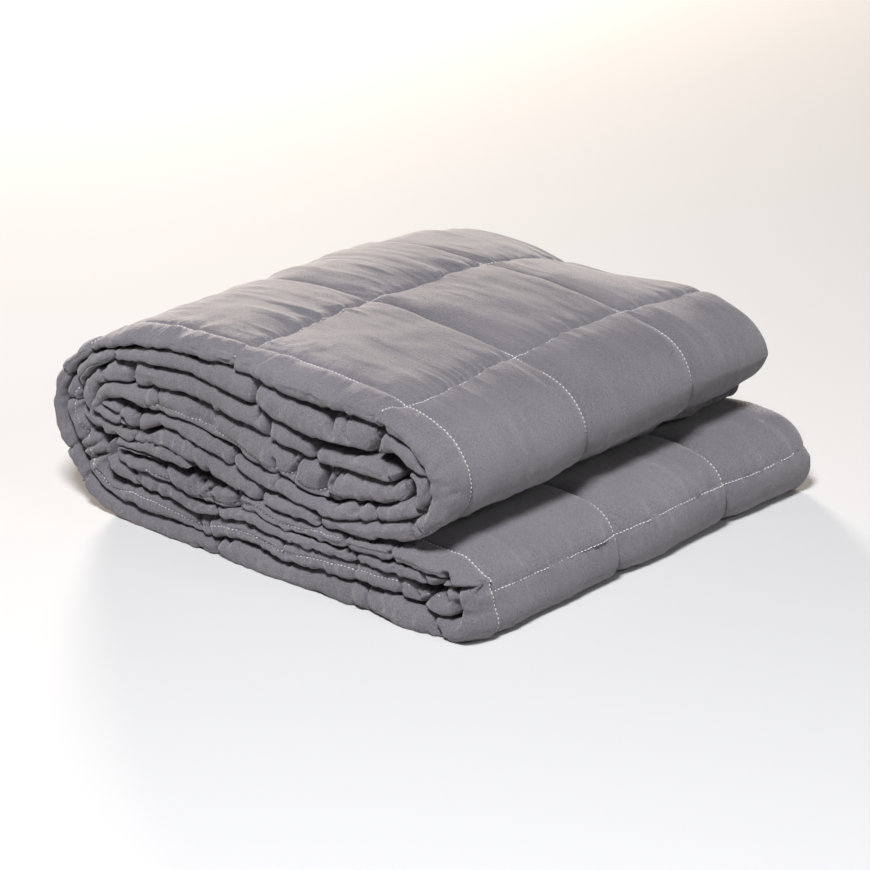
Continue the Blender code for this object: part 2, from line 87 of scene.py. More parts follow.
# One row for each bend or section of the strip, much as in the part's source: the place and
# thickness of both layers, the layers that a cross seam crosses (o and i), and how far the hem
# stitches lie off a layer's centre (right-hand side positive). Values at the end that don't apply
# are left out.
COLUMNS = ("name", "out_x", "out_z", "out_t", "in_x", "in_z", "in_t", "seam", "in_stitch", "out_stitch")
NO = None
LEFT_OUT = {"seam": "", "in_stitch": NO, "out_stitch": NO}
STRIP_ROWS = (
    # the core of the upper roll, from its right end to the left
    ("core end", 285.5, 92, 4, 293, 90.5, 6),
    ("core curl", 277, 88.6, 7, 290.5, 84, 9, "", -3),
    ("core bend", 261, 88.8, 11, 281, 79.2, 12, "", -4.5),
    ("core dip", 241, 85.8, 11, 261, 76, 17, "", -5.8),
    ("core seam", 220, 85.8, 12, 226, 68.5, 21, "oi", -7),
    ("core rise", 199, 89, 13, 202, 72.5, 20, "", -5.5),
    ("core cell", 182, 92.3, 14, 182, 75, 21, "o", -6.5),
    ("core slope", 158, 95, 14, 159, 78.5, 20, "", -5.5),
    ("core crown", 130, 100, 14, 132, 83.2, 18, "", -3.6),
    ("core left cell", 92, 100.4, 13, 94, 86.5, 15, "i", -3.6),
    ("core left seam", 64, 96.4, 14, 68, 83.3, 13, "o", -5),
    ("core shoulder", 45, 91.8, 12, 51, 82.2, 12, "", -4.6),
    # the turn at the left of the core
    ("turn top", 33, 86, 12, 44, 80, 9),
    ("turn side", 27, 77, 12, 38, 74.5, 7),
    ("turn foot", 24, 67, 12, 35, 69.3, 6),
    ("pleat tip", 28, 58.8, 11, 42, 68.6, 11),
    ("pleat", 40, 57.6, 11, 54, 69.4, 13),
    # the second pass, to the right under the core
    ("second pinch", 67, 58.2, 8, 67, 66.8, 11, "o"),
    ("second start", 81, 59.4, 10, 79, 70.2, 10),
    ("second rise", 98, 63, 12, 98, 73.4, 10),
    ("second slope", 120, 59.4, 13, 120, 70.4, 11),
    ("second seam", 148, 54.4, 13, 152, 65.6, 11, "i"),
    ("second cell", 176, 48.6, 13, 178, 59.7, 11, "o"),
    ("second flat", 200, 46.7, 11, 202, 57.7, 12),
    ("second low", 225, 45.5, 10, 225, 53.6, 8),
    ("second lift", 247, 47.6, 11, 247, 58.2, 11),
    ("second climb", 270, 53.7, 12, 267, 64.8, 11, "i"),
    ("second end", 289, 59, 13, 286, 70.2, 11),
    # round the upper roll's right side
    ("roll foot", 303, 65, 12, 298, 76.3, 11, "o"),
    ("roll low side", 311.5, 74.5, 11, 305, 83.5, 10),
    ("roll side", 313.5, 85.5, 11, 306, 91.5, 10),
    ("roll high side", 311, 96.5, 11, 302, 99.5, 10),
    ("roll shoulder", 303.5, 106.5, 11, 294, 105, 11),
    ("roll crown", 291, 114, 10, 282, 107.6, 14),
    # the top, to the left
    ("top first seam", 270, 119.6, 11, 267, 106, 18, "oi", -7.5),
    ("top right cell", 248, 121.8, 12, 244, 104.6, 19, "", -8.6),
    ("top middle", 205, 122.6, 15, 205, 104.8, 19, "", -8.6),
    ("top inner seam", 176, 124.4, 13, 173, 109.6, 18, "i"),
    ("top second seam", 150, 125.4, 11, 150, 112, 17, "o"),
    ("top left cell", 118, 124.4, 11, 118, 113.5, 12),
    ("top slope", 86, 121.4, 11, 86, 111.3, 11),
    ("top left seam", 56, 115.4, 11, 55, 106.2, 10, "i", -2),
    # round the bundle's left side
    ("side shoulder", 32, 105.4, 10, 36, 97.8, 10, "o", -2.7),
    ("side high", 18, 95.6, 10, 25, 88.8, 10, "", -2.2),
    ("side upper", 8, 84.2, 10, 17, 79.3, 11, "", -2.6),
    ("side corner", 3.4, 72, 8, 12.5, 68.5, 12, "i", -2),
    ("side middle", 3.2, 60, 8, 14.5, 59.5, 9, "", -2),
    ("side bulge", 5, 48.5, 10, 25.5, 47.5, 22, "", 1.5),
    ("side low", 8.6, 38.5, 11, 28.5, 39.5, 24, "", 2.5),
    ("side foot", 15.5, 28.5, 11, 32, 30.5, 16, "", 3.5),
    ("side seam", 25, 18.8, 11, 39, 23.4, 12, "o", 0.5),
    ("side heel", 36.5, 9.6, 11, 47, 18, 10, "", 0),
    # the bottom, to the right
    ("bottom start", 58, 5, 12, 62, 16.8, 12, "", -2),
    ("bottom left cell", 88, 5.2, 12, 88, 18, 14, "", -1.2),
    ("bottom inner seam", 118, 4.8, 11, 122, 16, 13, "i", 0),
    ("bottom first seam", 137, 5.6, 12, 139, 18.2, 13, "o", -1.8),
    ("bottom middle", 167, 6.8, 15, 167, 20.6, 14, "", 0),
    ("bottom dip", 192, 5.9, 13, 191, 18.9, 14, "", 0),
    ("bottom right cell", 222, 7, 15, 222, 20.7, 14, "", -1),
    ("bottom second seam", 258, 8, 16, 252, 22.4, 12, "oi", -3),
    ("bottom swell", 281, 9, 18, 277, 25, 12, "", -3),
    ("bottom end", 302, 7.4, 15, 299, 21.4, 12, "i", -4.5),
    ("bottom nose", 322, 6.6, 13, 315, 18.8, 12, "", -4.8),
    # round the lower roll's right side
    ("nose foot", 336.5, 9, 12, 325, 19.8, 10),
    ("nose seam", 336.5, 21.5, 11, 328.5, 26.2, 8, "o"),
    ("nose high", 331, 33.5, 11, 322, 32.6, 8),
    # the last pass, to the left between the rolls
    ("last start", 318.5, 40.4, 11, 305, 35.3, 8),
    ("last right", 298, 42.4, 12, 288, 35, 8, "", NO, 5.6),
    ("last slope", 275, 41.6, 11, 270, 33, 8, "", NO, 5),
    ("last seam", 247, 38.2, 10, 252, 31.2, 7, "oi", NO, 3),
    ("last flat", 215, 36.6, 10, 215, 30, 6, "", NO, 1.5),
    ("last rise", 183, 37.8, 11, 183, 30.4, 7, "", NO, 0),
    ("last hump", 168, 41.4, 11, 168, 32.6, 10, "", NO, 0),
    ("last cell", 151, 40.6, 14, 152, 29.4, 8, "o", NO, -4.6),
    ("last low", 132, 38.4, 13, 138, 28.4, 8, "i", NO, -3),
    ("last dip", 116, 37.4, 14, 118, 26.2, 7, "", NO, -6),
    ("last swell", 98, 39.8, 12, 97, 30.3, 12, "", NO, -3.3),
    # the curl of the strip's second end
    ("curl start", 77, 39.6, 10, 76, 30.6, 12, "", NO, -1.5),
    ("curl foot", 64, 39.8, 7, 58, 30.6, 10),
    ("curl side", 57, 41.6, 4, 49, 37.6, 10),
    ("curl back", 57, 46.4, 3, 48, 46.6, 9),
    ("curl top", 64, 47.6, 2.6, 57, 52.2, 7),
    ("curl run", 74, 47.4, 2.6, 78, 52.8, 7),
    ("curl swell", 84, 47.4, 2.6, 98, 53.8, 8),
    ("curl end", 93, 47.6, 2.6, 116, 50, 6),
)

# Quilting. Each valley is a narrow groove at the thread and a wide dip of the filling beside it.
LINE_GROOVE, LINE_GROOVE_REACH = 5.4, 1.2
LINE_DIP, LINE_DIP_REACH, LINE_LIP_REACH = 4.2, 10, 2.6  # the lip is the side nearer the front
BORDER_SHALLOW = 0.42  # the first line is this much as deep as the others
CROSS_VALLEY = (2.3, 1.2, 2.6, 8)  # groove and dip of a cross seam, each with its reach
CROSS_LOSS = 0.85  # how much of it is lost where a long line crosses
CROSS_PULL, CROSS_PULL_REACH = 1.2, 5  # how far a cross seam draws the front end in
FRONT_PINCH = 0.06  # how much of a cross seam's valley reaches the front ends
PINCH_START, PINCH_SPAN = 6, 26  # from where, and over how far, it grows to its full depth
FOOT_FLAT, FOOT_FLAT_HEIGHT = 0.5, 28  # share of the seams' depth at the foot, full above it
LINE_WANDER, CROSS_WANDER = 1.2, 1.6
CROWN_UNEVEN = 0.9  # how much the filling's height varies from place to place
SEAM_STAND = 0.9  # a seam leaves the face at least this far off the layer's centre

# Each cross seam on the outer layer: how far it lies beyond its row, how much further it has moved
# by the second line, and how strong the puckers are before and after it
SEAM_COLUMNS = ("name", "shift", "drift", "before", "after")
CROSS_SEAMS = (
    ("roll foot", 0, 0, 0.7, 0.7),
    ("top first seam", 0, 13, 0.9, 0.8),
    ("top second seam", 0, 9, 0.7, 1.25),
    ("side shoulder", 0, 0, 0.8, 0.8),
    ("side seam", 0, 0, 0.7, 0.7),
    ("bottom first seam", 0, 0, 0.5, 0.5),
    ("bottom second seam", 0, 0, 0.5, 0.5),
    ("nose seam", 6.5, 0, 0.8, 0.9),
    ("last seam", 0, 0, 0.6, 0.6),
)
SHALLOW_SEAMS = {"nose seam": 0.25, "side seam": 0.6}  # the cross seams that are less deep
STITCHED_FROM = {"nose seam": 25}  # the cross seams whose stitches show only from this depth on
# How far the first long line lies from the front ends, at some rows of the strip
BORDER_WIDTHS = {
    "second lift": 26, "roll foot": 29, "roll side": 31, "top first seam": 27, "top second seam": 22.5,
    "side shoulder": 20, "bottom start": 22, "nose foot": 25, "last right": 23,
}
# How far the front end is rounded back towards the first line, as a share of BORDER_ROLL
ROUNDING = {
    "roll foot": 0, "roll side": 0.5, "roll crown": 0.8, "top first seam": 1, "side shoulder": 1,
    "side middle": 0.6, "side seam": 0.6, "bottom second seam": 0.8, "nose foot": 0.5,
    "nose seam": 0.1, "last right": 0.6, "last flat": 0.2, "last rise": 0,
}
# Puckers of a cross seam: spacing along the seam, reach away from it, height
PUCKERS = ((3, 10, 0.9), (5.5, 24, 1.4), (10, 45, 1.3))
PUCKER_LENGTH = 7  # how long a ridge is, in spacings
PUCKER_LOSS, PUCKER_LOSS_REACH = 0.8, 5  # how much of them is lost beside a long line

# Creases across the band fronts of each layer, read off the photograph: where a crease crosses the
# band's middle, its depth, its half width and how far it leans over the band's height
CREASE_COLUMNS = ("x", "z", "depth", "width", "lean")
CREASES = {
    "out": (
        (153, 128, 3.2, 1.3, 2), (267, 119, 2.6, 1.3, 3), (32, 106, 2.4, 1.2, 0),
        (8, 84, 2, 1.2, 2), (65, 97, 3.2, 1.4, 0), (182, 92, 3.2, 1.4, 1), (219, 87, 2.6, 1.2, 1),
        (39, 90, 2, 1.2, 3), (67, 57, 2.2, 1.2, 0), (80, 58, 2, 1.1, 0), (176, 49, 2.8, 1.3, 1),
        (223, 47, 2.4, 1.2, 1), (299, 64, 2.6, 1.2, 5), (154, 40, 2.8, 1.3, 1),
        (133, 40, 2.4, 1.2, 8), (122, 36, 2.8, 1.3, 8), (243, 38, 2.4, 1.2, 0),
        (278, 41, 1.8, 1.1, 0), (97, 44, 2.6, 1.3, 9), (137, 7, 2.6, 1.3, 0), (259, 9, 2.8, 1.3, 1),
        (313, 8, 2.4, 1.2, 6), (25, 19, 2.4, 1.2, 2), (11, 38, 2.2, 1.2, 3),
    ),
    "in": (
        (54, 104, 2.2, 1.1, 0), (172, 109, 3.4, 1.5, 6), (270, 106, 3.2, 1.5, 9),
        (10, 66, 2.8, 1.3, 1), (88, 87, 2.6, 1.3, 2), (205, 75, 2.6, 1.3, 7),
        (227, 69, 3.6, 2, 6), (234, 73, 1.8, 1.2, 5), (55, 69, 2.6, 1.2, 0),
        (67, 64, 2.4, 1.2, 0), (152, 66, 3.2, 1.3, 1), (190, 62, 1.8, 1.1, 0),
        (253, 63, 2.4, 1.2, 0), (264, 65, 2.2, 1.2, 0), (138, 29, 2.4, 1.2, 0),
        (252, 31, 2, 1.1, 0), (68, 28, 2, 1.2, 8), (122, 17, 2.2, 1.2, 6),
        (130, 17, 2, 1.1, 0), (193, 24, 1.8, 1.1, 4), (250, 21, 2.4, 1.2, 0),
        (287, 27, 2.4, 1.2, 6), (298, 23, 2.8, 1.4, 8), (305, 23, 2.4, 1.3, 6),
        (25, 49, 2.6, 1.5, 4), (26, 42, 2.2, 1.4, 3), (34, 36, 2.2, 1.4, 4),
    ),
}

# Pleats, notches and holes of the front ends, read off the photograph: grooves between two places
PLEAT_COLUMNS = ("x", "z", "to_x", "to_z", "half_width", "depth")
PLEATS = (
    # the left turn
    (67, 102, 67, 92, 1.8, 8), (17, 85, 20, 76, 1.8, 7), (20, 70, 26, 64, 1.8, 8),
    (41, 71, 60, 67, 1.2, 6), (59, 66, 69, 61, 1.1, 5), (72, 76, 71, 62, 1.4, 8),
    (31, 52, 39, 55, 1.6, 8), (51, 53, 49, 41, 1.9, 10), (30, 35, 47, 41, 1.1, 5),
    # between the turns
    (77, 62, 91, 70, 1.4, 8), (83, 63, 85, 57, 1.1, 6), (122, 42, 123, 42, 2.2, 9),
    (132, 53, 129, 44, 1.4, 8), (137, 47, 129, 38, 1, 5), (151, 72, 152, 62, 1.5, 8),
    (157, 46, 155, 34, 1.1, 6), (173, 118, 168, 102, 1.2, 6), (173, 100, 173, 96, 1.1, 6),
    (181, 101, 181, 88, 1.3, 7), (176, 54, 174, 45, 1.1, 6), (188, 75, 189, 65, 1.1, 6),
    (207, 81, 200, 69, 1.1, 6), (218, 92, 218, 83, 1.5, 8), (227, 77, 222, 63, 1.9, 9),
    (236, 80, 231, 70, 1.2, 6), (222, 50, 223, 44, 1.1, 6), (242, 40, 245, 33, 1.3, 7),
    # the right turn
    (230, 115, 234, 104, 2.6, 8), (243, 114, 247, 104, 1.2, 7), (274, 118, 264, 99, 1.7, 8),
    (285, 100, 286, 99, 2.6, 9), (272, 98, 281, 87, 1.1, 7), (290, 100, 305, 95, 1.1, 6),
    (297, 82, 297, 80, 2.2, 9), (298, 77, 302, 74, 1.1, 6), (264, 70, 271, 60, 1.1, 6),
    (252, 64, 252, 60, 1.2, 6), (296, 65, 297, 57, 1.1, 6), (279, 42, 282, 39, 1.2, 6),
    # the lower right turn
    (302, 37, 305, 32, 1.1, 6), (332, 48, 333, 43, 1.9, 8), (319, 39, 320, 38, 2.2, 9),
    (314, 30, 315, 31, 2.8, 9), (314, 30, 321, 41, 1.1, 6), (314, 30, 302, 18, 1.1, 6),
    (314, 30, 338, 36, 1.3, 7), (329, 25, 330, 18, 1.8, 8), (311, 11, 318, 1, 1, 5),
)
PLEAT_START, PLEAT_REACH = 9, 14  # full up to this depth, then fading over the reach
PLEAT_SOFT, PLEAT_SPREAD = 0.16, 3  # the cloth beside it: share of its depth, half widths

# Creases: the groove, and the soft pinch of the cloth around it
CREASE_DEEPER = 1.5  # times the depths of the table
CREASE_SHARPNESS = 0.7  # the groove fades within this share of the half width
CREASE_SPREAD, CREASE_SPREAD_REACH = 0.13, 4.5  # the pinch: share of the crease's depth, reach
CREASE_RIM = 0.6  # how much shallower a crease is at a band's rims
CREASE_FADE = 9  # how fast it fades behind the front
CREASE_BEND, CREASE_BEND_SPACING = 1.3, 5  # how far it strays from a straight line
END_ROUND = 5  # the strip's two ends close over this distance

# Unevenness: its size, and its spacings along the strip and over the cloth
FILLING_WAVES = ((0.55, 26, 22), (0.3, 12, 14))
FRONT_WAVES = ((1.3, 55), (0.7, 21))
FRONT_SET = 1.2  # how far back the front ends lie on average
# Ripples along the rims of the band fronts and wrinkles across them: spacing, wide and narrow
RIPPLES, WRINKLES, WRINKLE_HEIGHT = (6.5, 3.1), (5, 2.8), 1.4
RIPPLE_FADE = 14  # how fast they fade behind the front
# Small tucks at the rims: spacing, width as a share of it, depth
TUCK_SPACING, TUCK_WIDTH, TUCK_DEPTH = 8, 0.2, 1.7
# The front ends don't lie in smooth curves: spacing and size of their unevenness
RUMPLES = ((28, 1.6), (13, 1.2), (6.5, 0.6))
RUMPLE_START, RUMPLE_REACH = 6, 22  # full up to this depth, then fading over the reach
RUMPLE_FOOT, RUMPLE_FLATTER = 12, 0.7  # full above this height; its spacing upwards is less

# The weight presses the underside flat: by how much, and up to what height
SETTLE, SETTLE_REACH = 2.2, 8

# From front to back: how far the roll's top sinks at its left shoulder, middle and right shoulder,
# and how far the roll's right side and the bundle's right foot are drawn in
SAG_COLUMNS = ("y", "left", "middle", "right", "inset", "foot")
SAG = (
    (0, -2, -2.5, -1.5, 0, 6),
    (25, -4, -3.5, -1.5, 0, -3),
    (80, -3.5, -1, 2, 0.5, 0),
    (137, -3, 1, 4, 2, 1),
    (190, -2.5, 0.5, 2.5, 4, 3),
    (240, -2, 1, 3.5, 6, 4.5),
    (290, 5, 12, 9, 9, 5),
    (334, 15, 29, 12, 12, 5),
)
SAG_SHOULDERS = (45, 170, 275)  # x of the left shoulder, the middle and the right one
ROLL_FOOT, ROLL_TOP = 50, 128  # heights between which the sag grows to its full size
SAG_PAST = 1.1  # beyond them it grows on up to this share
INSET_START, INSET_SPAN = 170, 150  # x where the drawing in starts, and over how far it grows
INSET_BASE = 8  # how far above the roll's foot its side is drawn in fully
INSET_TIP, INSET_UNDER = 88, 1.1  # height of the roll's outermost point, how much more below it
FOOT_START, FOOT_SPAN, FOOT_HEIGHT = 300, 35, 22  # where the right foot is drawn in

# Stitches and threads
STITCH_PITCH, STITCH_LENGTH, THREAD_RADIUS = 2.7, 1.8, 0.32
STITCH_SIDES = 5
# A stitch from end to end: the share of its length, its lift off the cloth, its thickness
STITCH_FORM = ((0, -0.2, 0.7), (0.3, 0.3, 1), (0.7, 0.3, 1), (1, -0.2, 0.7))
STITCH_START, STITCH_TRACE = 0.6, 0.5  # where a run starts, and the step at which it is traced
CROSS_STITCH_START, CROSS_STITCH_END = 8, STRIP_WIDTH - 20  # their depths on a cross seam
HEM_VALLEY = (1.3, 1.2, 0.7, 4)  # groove and dip of the hem's stitches, each with its reach
HEM_GATHER, HEM_GATHER_SPACING, HEM_GATHER_REACH = 0.45, 3.6, 4.5

# Colours
CLOTH_COLORS = ((0.068, 0.063, 0.075), (0.222, 0.208, 0.230))  # the darkest and lightest yarns
THREAD_COLORS = ((0.52, 0.51, 0.52), (0.76, 0.74, 0.75))
FLOOR_COLOR = (0.58, 0.58, 0.58)
WARP_SCALE, WEFT_SCALE = (60, 210, 1), (210, 60, 1)

# Studio
LIGHT_COLUMNS = ("name", "azimuth", "elevation", "distance", "size", "power", "color")
LIGHTS = (
    ("key", -126, 10, 2.6, 0.5, 104, (1, 0.87, 0.75)),
    ("fill", 32, 54, 2.4, 0.5, 80, (0.98, 0.98, 1)),
    ("side", 92, 34, 2.4, 0.6, 8, (1, 1, 1)),
)
LIGHT_TARGET = (0, 0, 0.06)
SKY_LOW, SKY_HIGH = 0.01, 0.12  # the studio's brightness at the horizon and overhead
SKY_COLOR = (0.97, 0.98, 1)
FLOOR_HALF, FLOOR_Z = 6, -0.0004

# Camera, from the photograph
CAMERA_AZIMUTH, CAMERA_ELEVATION = 42, 21.5
CAMERA_TARGET = (221.9965, 104.468, 70)
CAMERA_DISTANCE = 2.15
CAMERA_FOCAL_PIXELS, IMAGE_PIXELS, SENSOR_MM = 3600, 870, 36


def named(columns, table):
    """The table's rows, with a name for each value."""
    return [dict(zip(columns, row)) for row in table]


# ---- noise ----


def lattice(seed, *cells):
    """A fixed value from 0 to 1 for each whole-number cell."""
    mixed = seed * 74.7
    for factor, cell in zip((127.1, 311.7), cells):
        mixed = mixed + factor * cell
    return np.modf(np.abs(np.sin(mixed) * 43758.5453))[0]


def limited(share, most=1):
    return np.clip(share, 0, most)


def eased(share):
    return share * share * (3 - 2 * share)


def waves(seed, u, v=None):
    """Smooth noise from -1 to 1 of one or two numbers, with bumps one unit apart."""
    u0 = np.floor(u)
    fu = eased(u - u0)
    if v is None:
        low, high = lattice(seed, u0), lattice(seed, u0 + 1)
        return 2 * (low + (high - low) * fu) - 1
    v0 = np.floor(v)
    fv = eased(v - v0)
    near = lattice(seed, u0, v0) * (1 - fu) + lattice(seed, u0 + 1, v0) * fu
    far = lattice(seed, u0, v0 + 1) * (1 - fu) + lattice(seed, u0 + 1, v0 + 1) * fu
    return 2 * (near + (far - near) * fv) - 1


def summed_waves(seed, layers, *ways):
    """Layers of noise, each with its size and its spacing along every one of the ways."""
    total = 0
    for number, (size, *spacings) in enumerate(layers):
        places = [way / spacing for way, spacing in zip(ways, spacings)]
        total = total + size * waves(seed + number, *places)
    return total


def nearness(distance, reach):
    return np.exp(-np.abs(distance) / reach)


def faded(way, start, reach):
    """1 up to the start, and fading over the reach beyond it."""
    return nearness(np.maximum(way - start, 0), reach)


# ---- the strip ----


def smooth_between(points, index, share):
    """Catmull-Rom curve through the rows, from row index (share 0) to the next one (share 1)."""
    last = len(points) - 1
    before, start, end, after = (points[min(max(index + k, 0), last)] for k in (-1, 0, 1, 2))
    share = share[:, None]
    return 0.5 * (
        2 * start
        + (end - before) * share
        + (2 * before - 5 * start + 4 * end - after) * share**2
        + (3 * start - before - 3 * end + after) * share**3
    )


def softened(values, spread):
    """The values along the strip, averaged over their neighbours."""
    reach = int(3 * spread)
    weights = np.exp(-0.5 * (np.arange(-reach, reach + 1) / spread) ** 2)
    weights /= weights.sum()
    padded = np.concatenate([
        2 * values[0] - values[reach:0:-1], values, 2 * values[-1] - values[-2 : -reach - 2 : -1]
    ])
    return np.convolve(padded, weights, mode="valid")


def arc_lengths(centres):
    lengths = np.linalg.norm(np.diff(centres, axis=0), axis=1)
    return np.concatenate([[0], np.cumsum(lengths)])


def unit(vectors):
    return vectors / np.maximum(np.linalg.norm(vectors, axis=1), TINY)[:, None]


def normals_of(centres):
    """Unit normals to the right of the way the strip runs, which is the outer layer's outside."""
    forward = unit(np.gradient(centres, axis=0))
    return np.stack([forward[:, 1], -forward[:, 0]], 1)


def give_way(centres, normals, halves, points, point_halves, far):
    """How far each face may stand off its centre before it meets the other layer's share.

    Two layers share the room between their centre lines in proportion to their thickness.
    """
    weight = point_halves[None, :] / halves[:, None]
    border = (weight + 1) * LAYER_GAP / 2
    apart = points[None, :, :] - centres[:, None, :]
    toward = (apart * normals[:, None, :]).sum(2) + weight * border
    clear = (apart**2).sum(2) - border**2
    inside = toward**2 - (1 - weight**2) * clear
    below = toward + np.sqrt(np.maximum(inside, 0))
    meets = far & (inside >= 0) & (below > TINY)
    return np.where(meets, clear / np.where(meets, below, 1), FREE).min(1)


def room_beside(layers, name, side):
    """How far each station's face stands off its centre, on the side that side (1 or -1) names."""
    layer = layers[name]
    centres, halves, arc = layer["centre"], layer["half"], layer["arc"]
    normals = layer["normal"] * side
    turning = np.gradient(np.unwrap(np.arctan2(normals[:, 1], normals[:, 0])), arc)
    tight = TURN_SHARE / np.maximum(np.abs(softened(turning, ROW_SOFT)), TINY)
    room = np.where(turning * side < 0, np.minimum(halves, tight), halves)
    for other, found in layers.items():
        far = np.ones((len(arc), len(found["arc"])), bool)
        if other == name:
            stretch = OWN_STRETCH[0] * halves + OWN_STRETCH[1]
            far = np.abs(found["arc"][None, :] - arc[:, None]) > stretch[:, None]
        limit = give_way(centres, normals, halves, found["centre"], found["half"], far)
        room = np.minimum(room, np.maximum(limit, LEAST_HALF))
    return softened(room, ROOM_SOFT)


def strip():
    """Both layers in fine stations: arrays for each, and the stations of the table's rows."""
    table = [{**LEFT_OUT, **row} for row in named(COLUMNS, STRIP_ROWS)]
    keys = [c for c in COLUMNS if c not in ("name", "seam")]
    points = np.array([[float(row[c] or 0) for c in keys] for row in table])
    places = [keys.index(c) for c in ("out_x", "out_z", "in_x", "in_z")]
    fine, marks = [], {}
    for index in range(len(table) - 1):
        marks[table[index]["name"]] = sum(map(len, fine))
        out_and_in = (points[index + 1] - points[index])[places].reshape(2, 2)
        length = np.linalg.norm(out_and_in, axis=1).max()
        count = max(2, round(length / STATION_STEP))
        fine.append(smooth_between(points, index, np.arange(count) / count))
    marks[table[-1]["name"]] = sum(map(len, fine))
    fine.append(points[-1:])
    fine = np.concatenate(fine)
    column = {key: softened(fine[:, k], ROW_SOFT) for k, key in enumerate(keys)}
    layers = {}
    for name in ("out", "in"):
        centre = np.stack([column[name + "_x"], column[name + "_z"]], 1)
        layers[name] = {
            "centre": centre,
            "normal": normals_of(centre),
            "half": np.maximum(column[name + "_t"], 2 * LEAST_HALF) / 2,
            "arc": arc_lengths(centre),
            "stitch": column[name + "_stitch"],
            "shown": stitched_rows(table, marks, name + "_stitch"),
            "seams": [r["name"] for r in table if name[0] in r["seam"]],
        }
    for name in ("out", "in"):
        for side in (1, -1):
            layers[name][side] = room_beside(layers, name, side)
    return layers, marks


def stitched_rows(table, marks, key):
    """The stretches of stations, as pairs of first and last, where hem stitches show."""
    runs = [[]]
    for row in table:
        if row[key] is NO:
            runs.append([])
        else:
            runs[-1].append(marks[row["name"]])
    return [(run[0], run[-1]) for run in runs if len(run) > 1]


LAYERS, MARKS = strip()
STATIONS = len(LAYERS["out"]["arc"])


def along(name, key, k):
    """One of a layer's arrays at the stations k, which needn't be whole numbers."""
    values = LAYERS[name][key]
    if values.ndim == 1:
        return np.interp(k, np.arange(STATIONS), values)
    return np.stack([np.interp(k, np.arange(STATIONS), v) for v in values.T], -1)


def seam_arcs(name):
    return [LAYERS[name]["arc"][MARKS[row]] for row in LAYERS[name]["seams"]]


def creases_of(name):
    """(arc, depth, width, lean) of each crease on this layer, at the station nearest to it."""
    found = []
    for crease in named(CREASE_COLUMNS, CREASES[name]):
        apart = LAYERS[name]["centre"] - (crease["x"], crease["z"])
        k = int(np.argmin((apart**2).sum(1)))
        found.append((LAYERS[name]["arc"][k], crease["depth"], crease["width"], crease["lean"]))
    return found


def stitched_share(name):
    """1 where hem stitches show, fading to 0 beyond, at each station."""
    share = np.zeros(STATIONS)
    for first, last in LAYERS[name]["shown"]:
        share[first : last + 1] = 1
    return limited(softened(share, STITCH_SOFT))


for layer_name, layer_found in LAYERS.items():
    layer_found["creases"] = creases_of(layer_name)
    layer_found["stitched"] = stitched_share(layer_name)


# ---- the cloth's surface ----


def line_place(line, arc):
    """Depth of a long quilting line at this place along the strip: it isn't quite straight."""
    if line == LINE_SEAMS[0]:
        marks = [LAYERS["out"]["arc"][MARKS[row]] for row in BORDER_WIDTHS]
        line = np.interp(arc, marks, list(BORDER_WIDTHS.values()))
        return line + 0.5 * LINE_WANDER * waves(11, arc / 40)
    return line + LINE_WANDER * waves(11 + line, arc / 60)


def seam_drift(name, row, y):
    """How far a cross seam has moved along the strip at depth y."""
    known = {values[0]: values[1:3] for values in CROSS_SEAMS} if name == "out" else {}
    shift, drift = known.get(row, (0, 0))
    share = limited((y - LINE_SEAMS[0]) / (LINE_SEAMS[1] - LINE_SEAMS[0]))
    return shift + drift * eased(share) + CROSS_WANDER * waves(23 + len(row), y / 70)


def valley(distance, groove, groove_reach, dip, dip_reach):
    return groove * nearness(distance, groove_reach) + dip * nearness(distance, dip_reach)


def line_valley(distance):
    """A long line's valley: steep under the lip of the cell in front, gentle behind."""
    reach = np.where(distance < 0, LINE_LIP_REACH, LINE_DIP_REACH)
    return valley(distance, LINE_GROOVE, LINE_GROOVE_REACH, LINE_DIP, reach)


def quilting(name, arc, y):
    """How far the seams draw the face in."""
    cross = np.zeros(np.broadcast(arc, y).shape)
    for row, seam in zip(LAYERS[name]["seams"], seam_arcs(name)):
        apart = arc - seam - seam_drift(name, row, y)
        cross = np.maximum(cross, valley(apart, *CROSS_VALLEY) * SHALLOW_SEAMS.get(row, 1))
    line = np.zeros(cross.shape)
    for seam in LINE_SEAMS:
        share = BORDER_SHALLOW if seam == LINE_SEAMS[0] else 1
        line = np.maximum(line, line_valley(y - line_place(seam, arc)) * share)
    grown = eased(limited((y - PINCH_START) / PINCH_SPAN))
    cross = cross * (FRONT_PINCH + (1 - FRONT_PINCH) * grown)
    return line + cross * (1 - CROSS_LOSS * line / (LINE_GROOVE + LINE_DIP))


def puckers(name, arc, y):
    """Small gathers that run away from the cross seams of the outer layer's outer face."""
    total = np.zeros(np.broadcast(arc, y).shape)
    if name != "out":
        return total
    for number, seam in enumerate(named(SEAM_COLUMNS, CROSS_SEAMS)):
        start = LAYERS[name]["arc"][MARKS[seam["name"]]]
        apart = arc - start - seam_drift(name, seam["name"], y)
        strength = np.where(apart < 0, seam["before"], seam["after"])
        side = (apart < 0) * 7  # another part of the noise on the seam's other side
        for layer, (spacing, reach, height) in enumerate(PUCKERS):
            seed = 31 + 10 * number + layer
            fan = y / spacing + 0.35 * waves(seed + 3, y / 40, apart / 30) + side
            ridge = waves(seed, fan, apart / (PUCKER_LENGTH * spacing) + side)
            own_reach = reach * (1 + 0.6 * waves(seed + 5, y / (1.7 * spacing)))
            rounded = 0.55 * ridge + 0.45 * (2 * np.abs(ridge) - 0.7)
            total += strength * height * rounded * nearness(apart, own_reach)
    near_line = np.max([nearness(y - seam, PUCKER_LOSS_REACH) for seam in LINE_SEAMS], axis=0)
    return total * (1 - PUCKER_LOSS * near_line)


